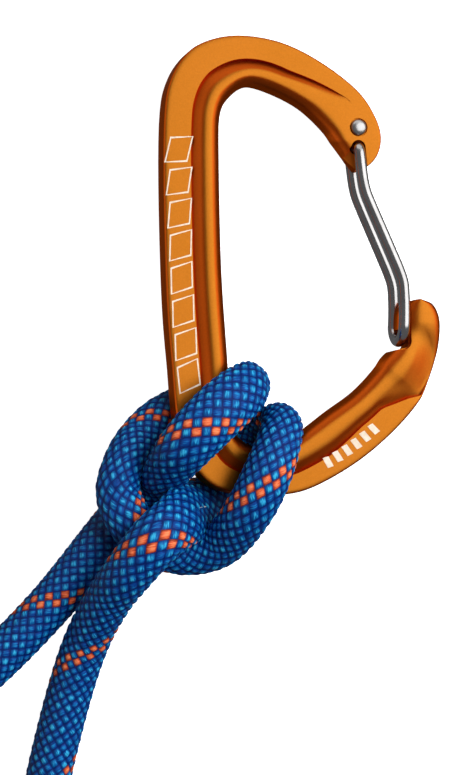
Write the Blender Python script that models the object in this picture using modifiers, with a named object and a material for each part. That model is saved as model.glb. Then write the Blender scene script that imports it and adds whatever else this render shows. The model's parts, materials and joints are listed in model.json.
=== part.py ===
"""Wiregate climbing carabiner with a rope hitched onto its spine.

Lengths below are in millimetres and become metres when a mesh is made.
The carabiner is drawn flat, x across and y along its length, on its middle plane,
then tilted by an empty so that its narrow top bend rests on the ground and its
wide basket end is held up by the rope that passes under it. The rope is drawn
in place.
"""

import math

import bmesh
import bpy
import numpy as np
from mathutils import Vector

MM = 0.001

# The tilt of the carabiner and where its drawing origin ends up.
TILT = math.radians(8.0)
SHIFT = (-15.62, -26.28, 13.54)

# Pairs of outline points along the bar, from the hinge lug round to the nose: outer x, outer y,
# inner x, inner y. They were measured off the photo with scratch scripts, which also thinned them.
STATIONS = [
    (28.6, 48.3, 27.6, 48.5),
    (30.6, 49.4, 25.6, 50.2),
    (32.4, 51.6, 24.1, 52.0),
    (33.3, 55.0, 22.3, 54.4),
    (32.6, 58.8, 20.4, 56.8),
    (27.6, 66.1, 14.7, 61.6),
    (12.0, 75.1, 5.0, 65.5),
    (0.0, 76.5, 1.4, 65.1),
    (-8.4, 73.9, -1.6, 62.2),
    (-12.2, 70.2, -2.5, 60.3),
    (-14.6, 65.3, -2.9, 58.0),
    (-15.6, 59.8, -3.0, 55.0),
    (-15.4, 25.8, -2.4, 25.9),
    (-14.1, 6.3, -1.1, 7.0),
    (-11.2, -13.3, 0.1, -7.7),
    (-5.4, -20.9, 2.1, -11.3),
    (5.0, -23.4, 7.7, -13.4),
    (11.0, -23.1, 11.0, -12.5),
    (16.4, -21.9, 14.4, -9.9),
    (26.2, -16.8, 20.8, -5.0),
    (34.5, -10.4, 27.2, -0.4),
    (41.0, -3.6, 32.1, 4.7),
    (43.5, 0.3, 33.7, 7.0),
    (46.5, 8.8, 37.0, 10.7),
    (47.1, 14.5, 37.2, 14.5),
    (46.6, 17.2, 37.5, 17.4),
    (45.3, 19.2, 38.9, 19.3),
    (42.6, 20.1, 41.0, 20.0),
]

# Half sections of the bar: distance across it (0 outer edge, 1 inner edge) and height.
CORNER = [(0, 0), (0, 1.4), (0, 2.55), (0.012, 2.88), (0.05, 3.0), (0.12, 3.0), (0.2, 3.0),
          (0.21, 2.99), (0.3, 2.97), (0.4, 2.9), (0.55, 2.65), (0.72, 2.2), (0.88, 1.5), (1, 0)]
LUG = [(0, 0), (0, 1.4), (0, 2.55), (0.012, 2.88), (0.05, 3.0), (0.15, 3.0), (0.25, 3.0),
       (0.258, 3.0), (0.34, 3.0), (0.45, 3.0), (0.62, 3.0), (0.8, 2.85), (0.93, 1.9), (1, 0)]
TAPER = [(0, 0), (0, 1.4), (0, 2.55), (0.012, 2.88), (0.05, 3.0), (0.18, 3.0), (0.33, 3.0),
         (0.337, 2.5), (0.43, 2.85), (0.52, 3.04), (0.68, 3.06), (0.82, 2.88), (0.93, 1.95), (1, 0)]
ARM = [(0, 0), (0, 1.4), (0, 2.55), (0.012, 2.88), (0.05, 3.0), (0.25, 3.0), (0.46, 3.0),
       (0.467, 2.2), (0.56, 2.7), (0.63, 3.04), (0.72, 3.12), (0.82, 2.95), (0.93, 2.0), (1, 0)]
SPINE = [(0, 0), (0, 1.4), (0, 2.55), (0.012, 2.88), (0.05, 3.0), (0.25, 3.0), (0.46, 3.0),
         (0.467, 1.9), (0.57, 2.5), (0.655, 3.02), (0.72, 3.2), (0.83, 3.1), (0.93, 2.2), (1, 0)]
BASKET = [(0, 0), (0, 1.4), (0, 2.55), (0.015, 2.88), (0.06, 3.0), (0.2, 3.0), (0.35, 3.0),
          (0.358, 2.1), (0.46, 2.6), (0.54, 3.0), (0.64, 3.2), (0.8, 3.15), (0.91, 2.4), (1, 0)]
HEEL = [(0, 0), (0, 1.4), (0, 2.55), (0.015, 2.88), (0.06, 3.0), (0.25, 3.0), (0.44, 3.0),
        (0.448, 2.3), (0.53, 2.65), (0.59, 2.97), (0.67, 3.17), (0.8, 3.15), (0.91, 2.4), (1, 0)]
RUNOUT = [(0, 0), (0, 1.4), (0, 2.5), (0.015, 2.85), (0.05, 3.0), (0.12, 3.0), (0.2, 3.0),
          (0.21, 2.0), (0.34, 2.5), (0.5, 3.0), (0.62, 3.3), (0.79, 3.3), (0.91, 2.5), (1, 0)]
WAIST = [(0, 0), (0, 1.4), (0, 2.4), (0.01, 2.6), (0.018, 2.68), (0.024, 2.7), (0.03, 2.7),
         (0.036, 1.85), (0.2, 2.3), (0.4, 2.95), (0.56, 3.45), (0.76, 3.5), (0.91, 2.6), (1, 0)]
SHOULDER = [(0, 0), (0, 1.1), (0, 1.6), (0.008, 1.72), (0.016, 1.8), (0.024, 1.84), (0.032, 1.87),
            (0.04, 1.9), (0.2, 2.4), (0.38, 3.05), (0.56, 3.6), (0.75, 3.5), (0.91, 2.5), (1, 0)]
NOSE = [(0, 0), (0, 1.2), (0.02, 2.2), (0.06, 2.85), (0.14, 3.4), (0.25, 3.85), (0.36, 4.1),
        (0.46, 4.15), (0.56, 3.98), (0.66, 3.6), (0.77, 3.05), (0.88, 2.45), (0.97, 1.8), (1, 0)]
TIP = [(0, 0), (0, 1.0), (0.03, 1.9), (0.09, 2.6), (0.18, 3.15), (0.28, 3.5), (0.38, 3.65),
       (0.47, 3.6), (0.56, 3.4), (0.66, 3.0), (0.77, 2.5), (0.88, 1.95), (0.96, 1.4), (1, 0)]
SECTIONS = [(0, CORNER), (1.5, CORNER), (3, LUG), (4.8, LUG), (5.15, TAPER), (5.7, ARM), (7, SPINE), (14, SPINE),
            (17, BASKET), (18.7, BASKET), (19.6, HEEL), (20.3, HEEL), (21, RUNOUT), (21.6, WAIST),
            (22.3, SHOULDER), (23.9, NOSE), (25, NOSE), (27, TIP)]

# The gate wire and its two holes in the lug.
WIRE_R = 1.25
HINGE = np.array([28.0, 53.2])
UPPER_HOLE = np.array([28.0, 57.6])
HOLE_R = 1.5
FACE = 3.0
REST, OPEN = math.radians(-84.3), math.radians(-118.3)
NEAR_LEG = [
    (28.0, 53.2, -1.7), (28.0, 53.2, 1.6), (28.0, 52.9, 2.9), (28.1, 51.8, 3.35),
    (28.4, 49.2, 3.37), (28.9, 45.6, 3.4), (29.5, 43.2, 3.42), (30.4, 41.0, 3.44),
    (32.7, 35.9, 3.5), (35.1, 30.6, 3.54), (37.0, 26.3, 3.58), (37.9, 23.6, 3.6),
    (38.15, 20.5, 3.63), (38.2, 17.5, 3.65), (38.15, 14.6, 3.7),
]
FAR_END = [(28.0, 56.0, -3.35), (28.0, 57.3, -3.1), (28.0, 57.65, -2.15)]
U_END = (38.1, 14.6, 3.7)

# Openings in the nose: the slot under its tongue that the wire's end sits in.
SLOT = [(33, 7.5), (35, 8.35), (38.2, 9.15), (39.4, 9.45), (39.75, 10.2), (39.75, 12.3),
        (39.3, 12.9), (38.5, 13.3), (36, 13.4), (33, 13.4)]

# The rope's centreline: x, y, z and how far it is squeezed. Scratch scripts moved points read off
# the photo clear of each other, and 17 of the 40 were then set again by hand. It isn't a list
# chosen by hand throughout.
ROPE_R = 5.0
ROUTE = [
    (-131, -134, 6.5, 1), (-110, -123, 6.25, 1), (-69.5, -92, 5.25, 1),
    (-53.5, -76, 5.25, 1), (-34.75, -52.5, 6.5, 1), (-30.8, -48.2, 11, 0.86),
    (-30.3, -44, 18, 0.87), (-28.6, -38.9, 24, 0.93), (-25, -34.3, 25.2, 0.97),
    (-19.1, -29, 23.6, 0.98), (-14.1, -25.9, 19.8, 0.92), (-11.8, -25.7, 15.25, 0.88),
    (-11.8, -27.4, 9.5, 0.88), (-15.75, -29, 5.5, 0.95), (-23, -31.1, 5.25, 1),
    (-29.5, -34.1, 5.75, 0.98), (-34.7, -38.4, 8, 0.93), (-38.6, -43.3, 11.9, 0.88),
    (-40.1, -49.3, 14.3, 0.9), (-37.5, -55.4, 15.9, 0.92), (-32, -60, 14, 0.94),
    (-24.75, -62.25, 14, 0.91), (-18.25, -60, 17.25, 0.95), (-13.75, -51.25, 24.75, 1),
    (-10.5, -43.75, 25.75, 1), (-7.75, -37.75, 23.5, 0.95), (-5.75, -34.25, 19.5, 0.89),
    (-5.5, -33.5, 14.75, 0.86), (-7, -36.75, 9.25, 0.92), (-11.75, -43, 6.75, 0.98),
    (-17, -49.5, 7.25, 0.94), (-22.25, -52.25, 12.5, 0.88), (-28, -53.9, 21.25, 0.92),
    (-34, -57.75, 25.25, 1), (-39, -65, 22.5, 1), (-42, -72, 16.5, 1),
    (-45.5, -83.75, 9.25, 1), (-50.5, -106.5, 5.75, 1), (-57.75, -148, 5.75, 1),
    (-67.5, -190, 6.5, 1),
]
ROPE_POINTS = 80
SHEATH_WALL = 0.95
CORE_R, CORE_OFFSET, CORE_LAY = 1.08, 2.48, 80.0
SLEEVE_LENGTH, SLEEVE_OUTER, SLEEVE_WALL = 28.0, 5.8, 0.5

# Colour, roughness and metallic value of each material.
FINISHES = {
    "orange_anodised": ((0.72, 0.24, 0.02), 0.38, 0.6),
    "stainless_wire": ((0.62, 0.63, 0.64), 0.25, 1.0),
    "sheath": ((0.03, 0.16, 0.42), 0.85, 0.0),
    "core": ((0.85, 0.84, 0.8), 0.9, 0.0),
    "sleeve": ((0.02, 0.02, 0.025), 0.45, 0.0),
    "seal": ((0.03, 0.06, 0.12), 0.5, 0.0),
}


def spline(points, spans):
    """Centripetal Catmull-Rom through the points, in any number of dimensions."""
    points = np.asarray(points, float)
    ends = np.vstack([2 * points[0] - points[1], points, 2 * points[-1] - points[-2]])
    out = []
    for i in range(1, len(ends) - 2):
        p = ends[i - 1:i + 3]
        t = np.r_[0, np.cumsum(np.sqrt(np.linalg.norm(np.diff(p, axis=0), axis=1)))]
        for k in range(spans):
            x = t[1] + (t[2] - t[1]) * k / spans
            a = [((t[j + 1] - x) * p[j] + (x - t[j]) * p[j + 1]) / (t[j + 1] - t[j]) for j in range(3)]
            b = [((t[j + 2] - x) * a[j] + (x - t[j]) * a[j + 1]) / (t[j + 2] - t[j]) for j in range(2)]
            out.append(((t[2] - x) * b[0] + (x - t[1]) * b[1]) / (t[2] - t[1]))
    return np.array(out + [points[-1]])


def collection(name):
    found = bpy.data.collections.new(name)
    bpy.context.scene.collection.children.link(found)
    return found


def material(name):
    colour, roughness, metallic = FINISHES[name]
    made = bpy.data.materials.get(name)
    if made is None:
        made = bpy.data.materials.new(name)
        made.use_nodes = True
        shader = made.node_tree.nodes["Principled BSDF"]
        shader.inputs["Base Color"].default_value = (*colour, 1)
        shader.inputs["Roughness"].default_value = roughness
        shader.inputs["Metallic"].default_value = metallic
    return made


def add(name, data, finish, group, parent=None, at=(0, 0, 0)):
    """An object for this mesh or curve, at a place in its parent's frame, in millimetres."""
    obj = bpy.data.objects.new(name, data)
    group.objects.link(obj)
    obj.parent = parent
    obj.location = Vector(at) * MM
    if finish:
        data.materials.append(material(finish))
    return obj


def empty(name, group, parent=None, at=(0, 0, 0), turn=(0, 0, 0)):
    obj = add(name, None, None, group, parent, at)
    obj.rotation_euler = turn
    return obj


def path(name, points, radii=None, closed=False, flat=False):
    """A curve through the points, in millimetres."""
    curve = bpy.data.curves.new(name, "CURVE")
    curve.dimensions = "2D" if flat else "3D"
    run = curve.splines.new("POLY")
    run.points.add(len(points) - 1)
    for k, p in enumerate(points):
        x, y, z = p if len(p) == 3 else (*p, 0)
        run.points[k].co = (x * MM, y * MM, z * MM, 1)
        if radii is not None:
            run.points[k].radius = radii[k]
    run.use_cyclic_u = closed
    return curve


def tube(name, points, radius, sides, radii=None, capped=True):
    """A round tube along the points. Without caps it is an open skin."""
    curve = path(name, points, radii)
    curve.bevel_depth = radius * MM
    curve.bevel_resolution = (sides - 4) // 2
    curve.use_fill_caps = capped
    return curve


def thicken(obj, wall):
    step = obj.modifiers.new("wall", "SOLIDIFY")
    step.thickness, step.offset = wall * MM, -1
    step.use_even_offset = True


def turned(name, profile):
    """A mesh line of radius and height, top first, which a Screw turns round Z."""
    mesh = bpy.data.meshes.new(name)
    work = bmesh.new()
    verts = [work.verts.new((r * MM, 0, z * MM)) for r, z in profile]
    for pair in zip(verts, verts[1:]):
        work.edges.new(pair)
    work.to_mesh(mesh)
    work.free()
    return mesh


def spin(obj, sides):
    step = obj.modifiers.new("turn", "SCREW")
    step.steps = step.render_steps = sides
    step.use_merge_vertices, step.merge_threshold = True, 0.00001
    step.use_smooth_shade = True


def cut(target, cutter):
    cutter.hide_render, cutter.display_type = True, "WIRE"
    step = target.modifiers.new(cutter.name, "BOOLEAN")
    step.operation, step.solver, step.object = "DIFFERENCE", "EXACT", cutter


def prism(name, outline, low, high, group, parent):
    """A cutter of this flat outline, between two heights."""
    curve = path(name, outline, closed=True, flat=True)
    curve.fill_mode, curve.extrude = "BOTH", (high - low) / 2 * MM
    flat = add(name, curve, None, group)
    bpy.context.view_layer.update()
    mesh = bpy.data.meshes.new_from_object(flat.evaluated_get(bpy.context.evaluated_depsgraph_get()))
    bpy.data.objects.remove(flat)
    work = bmesh.new()
    work.from_mesh(mesh)
    bmesh.ops.remove_doubles(work, verts=work.verts, dist=0.000001)
    bmesh.ops.recalc_face_normals(work, faces=work.faces)
    work.to_mesh(mesh)
    work.free()
    return add(name, mesh, None, group, parent, (0, 0, (low + high) / 2))


def drill(name, centre, radius, low, high, group, parent):
    """A round cutter between two heights."""
    mesh = bpy.data.meshes.new(name)
    work = bmesh.new()
    bmesh.ops.create_cone(work, cap_ends=True, segments=24, radius1=radius * MM,
                          radius2=radius * MM, depth=(high - low) * MM)
    work.to_mesh(mesh)
    work.free()
    return add(name, mesh, None, group, parent, (*centre, (low + high) / 2))


def circle(centre, radius, sides):
    return [(centre[0] + radius * math.cos(2 * math.pi * k / sides),
             centre[1] + radius * math.sin(2 * math.pi * k / sides)) for k in range(sides)]


def hull(points):
    """The convex outline round some flat points, anticlockwise."""
    points = sorted(set(points))

    def chain(run):
        kept = []
        for p in run:
            while len(kept) > 1:
                (ax, ay), (bx, by) = kept[-2:]
                if (bx - ax) * (p[1] - ay) - (by - ay) * (p[0] - ax) > 1e-6:
                    break
                kept.pop()
            kept.append(p)
        return kept[:-1]

    return chain(points) + chain(points[::-1])


def swept(pivot, half_width, start, end, reach):
    """The outline of a straight round-ended arm of this reach, turned about the pivot from start to end."""
    points = circle(pivot, half_width, 16)
    for a in np.linspace(start, end, 6):
        tip = pivot + reach * np.array([math.cos(a), math.sin(a)])
        points += circle(tip, half_width, 16)
    return hull([(round(x, 4), round(y, 4)) for x, y in points])


def section_at(position):
    """The half section at a place along the stations."""
    for (a, first), (b, second) in zip(SECTIONS, SECTIONS[1:]):
        if position <= b:
            f = (position - a) / (b - a)
            return (1 - f) * np.array(first, float) + f * np.array(second, float)
    return np.array(SECTIONS[-1][1], float)


def loft(name, rings):
    """A closed mesh through rings of equal length, with flat ends."""
    n, work, mesh = len(rings[0]), bmesh.new(), bpy.data.meshes.new(name)
    loops = [[work.verts.new(Vector(p) * MM) for p in r] for r in rings]
    bmesh.ops.poke(work, faces=[work.faces.new(loops[0]), work.faces.new(loops[-1])])
    for near, far in zip(loops, loops[1:]):
        for i in range(n):
            j = (i + 1) % n
            work.faces.new((near[i], near[j], far[j], far[i]))
    bmesh.ops.recalc_face_normals(work, faces=work.faces)
    work.to_mesh(mesh)
    work.free()
    mesh.shade_smooth()
    mesh.set_sharp_from_angle(angle=math.radians(30))
    return mesh


def carabiner_body(group, cutters, parent):
    spans = 2
    rings = []
    for k, (ox, oy, ix, iy) in enumerate(spline(STATIONS, spans)):
        half = section_at(k / spans)
        x, y = ox + (ix - ox) * half[:, 0], oy + (iy - oy) * half[:, 0]
        top = np.c_[x, y, half[:, 1]]
        bottom = np.c_[x, y, -half[:, 1]][1:-1][::-1]
        rings.append(np.vstack([top, bottom]))
    body = add("carabiner_body", loft("carabiner_body", rings), "orange_anodised", group, parent)

    def take(name, outline, low, high):
        cut(body, prism(name, outline, low, high, cutters, parent))

    clearance = [(32.5, 8.8), (39.95, 8.8), (39.95, 22), (32.5, 22)]
    pocket = swept(HINGE, 1.6, REST, OPEN, 9.0)
    tail = swept(HINGE, 1.62, math.radians(90), math.radians(56), 6.0)
    take("nose_slot", SLOT, -7, 7)
    take("nose_front", clearance, 1.9, 7)
    take("nose_back", clearance, -7, -1.9)
    take("pocket_front", pocket, 1.8, 7)
    take("pocket_back", pocket, -7, -1.8)
    take("tail_pocket", tail, -7, -1.81)
    cut(body, drill("lower_hole", HINGE, HOLE_R, -7, 7, cutters, parent))
    cut(body, drill("upper_hole", UPPER_HOLE, HOLE_R, -7, 7, cutters, parent))
    cut(body, drill("counterbore", UPPER_HOLE, 2.05, FACE - 0.5, 7, cutters, parent))


def wire_line():
    """The gate wire's centreline: up the near leg, round its end and back up the far leg."""
    near = spline(NEAR_LEG, 2)
    x, y, r = U_END
    bend = [(x, y - r * math.sin(a), r * math.cos(a)) for a in np.linspace(0, math.pi, 9)[1:-1]]
    far = [(px, py, -pz) for px, py, pz in spline(NEAR_LEG[3:], 2)[::-1]]
    return np.vstack([near, bend, far[:-1], spline([far[-1]] + FAR_END, 2)])


def gate_wire(group, parent):
    """One bent wire, whose origin is on its hinge's axis."""
    hinge = empty("gate_hinge", group, parent, (*HINGE, 0))
    points = wire_line() - np.array([*HINGE, 0])
    add("gate_wire", tube("gate_wire", points, WIRE_R, 8), "stainless_wire", group, hinge)


def peened_end(group, parent):
    """The other end of the wire, which fills the upper hole under a peened head."""
    profile = [(0, 3.9), (0.7, 3.85), (1.35, 3.65), (1.78, 3.2), (1.8, 2.8), (WIRE_R, 2.78), (WIRE_R, -1.8), (0, -1.8)]
    pin = add("gate_wire_peened_end", turned("gate_wire_peened_end", profile), "stainless_wire",
              group, parent, (*UPPER_HOLE, 0))
    spin(pin, 16)


def frames(line):
    """Two directions across the line at each point, carried along without twist."""
    tangent = np.gradient(line, axis=0)
    tangent /= np.linalg.norm(tangent, axis=1)[:, None]
    side = np.cross(tangent[0], [0.0, 0.0, 1.0])
    found = []
    for t in tangent:
        side = side - (side @ t) * t
        side /= np.linalg.norm(side)
        found.append((side, np.cross(t, side)))
    return found


def along(line):
    return np.r_[0, np.cumsum(np.linalg.norm(np.diff(line, axis=0), axis=1))]


def rope_line():
    """Centreline and squeeze of the rope, with more points where it turns."""
    fine = spline(ROUTE, 16)
    step = np.diff(fine[:, :3], axis=0)
    length = np.linalg.norm(step, axis=1)
    heading = step / length[:, None]
    turn = np.r_[0, np.arccos(np.clip((heading[1:] * heading[:-1]).sum(axis=1), -1, 1))]
    need = np.r_[0, np.cumsum(length / 9.0 + turn / math.radians(20))]
    at = np.interp(np.linspace(0, need[-1], ROPE_POINTS), need, np.arange(len(fine)))
    sample = np.array([np.interp(at, np.arange(len(fine)), fine[:, k]) for k in range(4)]).T
    return sample[:, :3], sample[:, 3]


def rope_core(line, squeeze, group, parent):
    """Seven strands: six laid round one in the middle."""
    across, s = frames(line), along(line)
    for k in range(7):
        points = []
        for p, q, (u, v), t in zip(line, squeeze, across, s):
            angle = math.radians(60 * k) + 2 * math.pi * t / CORE_LAY
            offset = CORE_OFFSET * q if k < 6 else 0.0
            points.append(p + offset * (math.cos(angle) * u + math.sin(angle) * v))
        name = f"rope_core_strand_{k + 1}"
        add(name, tube(name, points, CORE_R, 4, squeeze), "core", group, parent)


def rope_end(number, line, group, parent):
    """A plain sleeve over the rope's end, and the domed seal that closes it."""
    s = along(line)
    spots = [[np.interp(c, s, line[:, k]) for k in range(3)] for c in np.linspace(0, SLEEVE_LENGTH, 5)]
    name = f"rope_end_sleeve_{number}"
    sleeve = add(name, tube(name, spots, SLEEVE_OUTER, 16, capped=False), "sleeve", group, parent)
    thicken(sleeve, SLEEVE_WALL)
    name = f"rope_end_seal_{number}"
    profile = [(0, 2.7), (1.2, 2.65), (3.0, 2.4), (4.2, 1.9), (4.8, 1.2), (4.9, 0.3), (0, 0.3)]
    seal = add(name, turned(name, profile), "seal", group, parent, line[0])
    seal.rotation_euler = Vector(line[0] - line[1]).to_track_quat("Z", "Y").to_euler()
    spin(seal, 12)


def rope(group):
    parent = empty("rope", group)
    line, squeeze = rope_line()
    sheath = add("rope_sheath", tube("rope_sheath", line, ROPE_R, 12, squeeze, capped=False),
                 "sheath", group, parent)
    thicken(sheath, SHEATH_WALL)
    rope_core(line, squeeze, group, parent)
    rope_end(1, line, group, parent)
    rope_end(2, line[::-1], group, parent)


def main():
    for obj in list(bpy.data.objects):
        bpy.data.objects.remove(obj)
    group, cutters = collection("carabiner_on_rope"), collection("cutters")
    tilt = empty("carabiner", group, None, SHIFT, (-TILT, 0, 0))
    carabiner_body(group, cutters, tilt)
    gate_wire(group, tilt)
    peened_end(group, tilt)
    rope(group)


main()
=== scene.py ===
"""Looks of a wiregate carabiner on a pale floor, with a braided rope hitched round its lower bend.

The carabiner is drawn flat in millimetres, as in the CAD, and placed by the same tilt.
"""

import json
import math

import bmesh
import bpy
import numpy as np
from mathutils import Matrix, Vector

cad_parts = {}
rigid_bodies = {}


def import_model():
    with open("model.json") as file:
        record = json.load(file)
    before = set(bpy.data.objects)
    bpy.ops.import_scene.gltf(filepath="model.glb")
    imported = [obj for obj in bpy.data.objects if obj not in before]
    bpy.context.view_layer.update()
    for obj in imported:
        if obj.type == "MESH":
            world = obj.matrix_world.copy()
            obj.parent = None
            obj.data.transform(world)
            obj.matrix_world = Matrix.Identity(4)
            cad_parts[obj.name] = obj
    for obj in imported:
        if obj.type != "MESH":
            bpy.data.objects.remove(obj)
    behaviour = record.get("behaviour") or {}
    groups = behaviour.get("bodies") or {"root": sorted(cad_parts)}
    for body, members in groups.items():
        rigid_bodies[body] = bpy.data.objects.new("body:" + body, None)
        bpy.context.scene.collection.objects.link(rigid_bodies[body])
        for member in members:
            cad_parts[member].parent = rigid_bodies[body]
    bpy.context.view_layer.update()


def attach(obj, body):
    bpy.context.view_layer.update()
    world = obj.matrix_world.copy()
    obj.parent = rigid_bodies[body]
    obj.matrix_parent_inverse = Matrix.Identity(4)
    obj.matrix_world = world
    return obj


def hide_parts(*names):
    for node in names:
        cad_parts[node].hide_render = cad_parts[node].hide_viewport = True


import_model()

MM = 0.001
TILT = math.radians(8.0)
SHIFT = np.array([-15.62, -26.28, 13.54])

# ---------------------------------------------------------------- shared geometry


def place(points):
    """From the flat drawing, in millimetres, to the row frame, in millimetres."""
    x, y, z = np.atleast_2d(np.asarray(points, float)).T
    c, s = math.cos(TILT), math.sin(TILT)
    return np.c_[x, c * y + s * z, c * z - s * y] + SHIFT


def spline(points, spans):
    """Centripetal Catmull-Rom through the points, in any number of dimensions."""
    points = np.asarray(points, float)
    ends = np.vstack([2 * points[0] - points[1], points, 2 * points[-1] - points[-2]])
    out = []
    for i in range(1, len(ends) - 2):
        p = ends[i - 1:i + 3]
        t = np.r_[0, np.cumsum(np.sqrt(np.maximum(np.linalg.norm(np.diff(p, axis=0), axis=1), 1e-9)))]
        for k in range(spans):
            x = t[1] + (t[2] - t[1]) * k / spans
            a = [((t[j + 1] - x) * p[j] + (x - t[j]) * p[j + 1]) / (t[j + 1] - t[j]) for j in range(3)]
            b = [((t[j + 2] - x) * a[j] + (x - t[j]) * a[j + 1]) / (t[j + 2] - t[j]) for j in range(2)]
            out.append(((t[2] - x) * b[0] + (x - t[1]) * b[1]) / (t[2] - t[1]))
    return np.array(out + [points[-1]])


def along(line):
    """Distance along the line at each of its points."""
    return np.r_[0, np.cumsum(np.linalg.norm(np.diff(line, axis=0), axis=1))]


def frames(line):
    """Two directions across the line at each point, carried along without twist."""
    tangent = np.gradient(line, axis=0)
    tangent /= np.linalg.norm(tangent, axis=1)[:, None]
    side = np.cross(tangent[0], [0.0, 0.0, 1.0])
    if np.linalg.norm(side) < 0.1:
        side = np.cross(tangent[0], [1.0, 0.0, 0.0])
    u = np.empty_like(line)
    for k, t in enumerate(tangent):
        side = side - (side @ t) * t
        side /= np.linalg.norm(side)
        u[k] = side
    return u, np.cross(tangent, u)


def circle(centre, radius, sides):
    """Points round a circle in the flat drawing."""
    return [(centre[0] + radius * math.cos(2 * math.pi * k / sides),
             centre[1] + radius * math.sin(2 * math.pi * k / sides)) for k in range(sides)]


def mesh_piece(name, points, faces, material, smooth_under=None):
    """An object from points in millimetres in the row frame."""
    mesh = bpy.data.meshes.new(name)
    mesh.from_pydata((np.asarray(points) * MM).tolist(), [], [list(map(int, f)) for f in faces])
    mesh.validate()
    obj = bpy.data.objects.new(name, mesh)
    bpy.context.scene.collection.objects.link(obj)
    if material:
        mesh.materials.append(material)
    mesh.shade_smooth()
    if smooth_under:
        mesh.set_sharp_from_angle(angle=math.radians(smooth_under))
    return obj


def outward(obj):
    """Turns every face of obj outward."""
    work = bmesh.new()
    work.from_mesh(obj.data)
    bmesh.ops.recalc_face_normals(work, faces=work.faces)
    work.to_mesh(obj.data)
    work.free()
    return obj


def skin(rings):
    """Points and faces of a tube over the rings, with each end closed to its middle."""
    n = len(rings[0])
    faces = []
    for r in range(len(rings) - 1):
        for i in range(n):
            j = (i + 1) % n
            faces.append((r * n + i, r * n + j, (r + 1) * n + j, (r + 1) * n + i))
    points = np.vstack(rings)
    for r in (0, len(rings) - 1):
        points = np.vstack([points, np.mean(rings[r], axis=0)])
        hub = len(points) - 1
        faces += [(r * n + i, r * n + (i + 1) % n, hub) for i in range(n)]
    return points, faces


def ringed(line, radii, sides):
    """A ring of points round each point of a line, in the row frame."""
    u, v = frames(line)
    a = 2 * math.pi * np.arange(sides) / sides
    return [p + r * (np.outer(np.cos(a), du) + np.outer(np.sin(a), dv))
            for p, r, du, dv in zip(line, np.broadcast_to(radii, len(line)), u, v)]


def tube(name, line, radii, sides, material):
    """A round closed tube along a line in the row frame, in millimetres."""
    return outward(mesh_piece(name, *skin(ringed(line, radii, sides)), material, 50))


def face_normal():
    """The direction out of the carabiner's front face, in the row frame."""
    return place([0, 0, 1])[0] - place([0, 0, 0])[0]


# ---------------------------------------------------------------- materials


class Nodes:
    """A short way to build a material's node tree."""

    def __init__(self, name):
        self.material = bpy.data.materials.new(name)
        self.material.use_nodes = True
        self.tree = self.material.node_tree
        self.shader = self.tree.nodes["Principled BSDF"]

    def add(self, kind, links=(), **values):
        node = self.tree.nodes.new(kind)
        for key, value in values.items():
            if hasattr(node, key):
                setattr(node, key, value)
            else:
                node.inputs[key.replace("_", " ")].default_value = value
        for socket, source in dict(links).items():
            self.tree.links.new(source, node.inputs[socket])
        return node

    def set(self, **values):
        for key, value in values.items():
            self.shader.inputs[key.replace("_", " ")].default_value = value

    def link(self, source, socket):
        self.tree.links.new(source, self.shader.inputs[socket])


def ramp(nodes, source, stops):
    """A colour ramp of (position, colour) stops."""
    node = nodes.add("ShaderNodeValToRGB", {0: source})
    while len(node.color_ramp.elements) < len(stops):
        node.color_ramp.elements.new(0.5)
    for element, (position, colour) in zip(node.color_ramp.elements, stops):
        element.position, element.color = position, (*colour, 1)
    return node.outputs["Color"]


def anodised():
    """Satin orange anodising over a bead-blasted forging. Where the surface slopes away from the carabiner's own
    face it has painted shade, a darker and redder colour that stands in for reflections that the plain studio
    doesn't give."""
    n = Nodes("anodised_orange")
    coords = n.add("ShaderNodeTexCoord").outputs
    broad = n.add("ShaderNodeTexNoise", {"Vector": coords["Object"]}, Scale=60.0, Detail=3.0)
    fine = n.add("ShaderNodeTexNoise", {"Vector": coords["Object"]}, Scale=2600.0, Detail=2.0)
    up = n.add("ShaderNodeVectorMath", {0: coords["Normal"]}, operation="DOT_PRODUCT")
    up.inputs[1].default_value = face_normal()
    level = n.add("ShaderNodeMath", {0: up.outputs["Value"]}, operation="ABSOLUTE")
    # Painted shade mask: 1 where the surface faces the same way as the carabiner's face, falling to 0 on slopes.
    flat = n.add("ShaderNodeMapRange", {"Value": level.outputs[0]}, interpolation_type="SMOOTHSTEP")
    flat.inputs["From Min"].default_value, flat.inputs["From Max"].default_value = 0.93, 0.995
    bright = ramp(n, broad.outputs["Fac"], [(0.3, (0.505, 0.16, 0.0135)), (0.7, (0.56, 0.177, 0.0165))])
    # The darker, redder colour painted on the slopes as shade.
    painted_shade = ramp(n, broad.outputs["Fac"], [(0.3, (0.53, 0.08, 0.005)), (0.7, (0.59, 0.092, 0.007))])
    slope_painted_shade = n.add("ShaderNodeMix", data_type="RGBA")
    n.tree.links.new(flat.outputs["Result"], slope_painted_shade.inputs["Factor"])
    n.tree.links.new(painted_shade, slope_painted_shade.inputs["A"])
    n.tree.links.new(bright, slope_painted_shade.inputs["B"])
    grain = ramp(n, fine.outputs["Fac"], [(0.3, (0.9, 0.9, 0.9)), (0.7, (1.0, 1.0, 1.0))])
    mixed = n.add("ShaderNodeMix", data_type="RGBA", blend_type="MULTIPLY")
    mixed.inputs["Factor"].default_value = 1.0
    n.tree.links.new(slope_painted_shade.outputs["Result"], mixed.inputs["A"])
    n.tree.links.new(grain, mixed.inputs["B"])
    n.link(mixed.outputs["Result"], "Base Color")
    rough = n.add("ShaderNodeMapRange", {"Value": broad.outputs["Fac"]})
    rough.inputs["To Min"].default_value, rough.inputs["To Max"].default_value = 0.34, 0.4
    n.link(rough.outputs["Result"], "Roughness")
    bump = n.add("ShaderNodeBump", {"Height": fine.outputs["Fac"]}, Strength=0.12, Distance=0.00004)
    n.link(bump.outputs["Normal"], "Normal")
    n.set(Metallic=1.0, Specular_Tint=(1.0, 0.55, 0.35, 1))
    return n.material


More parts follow.
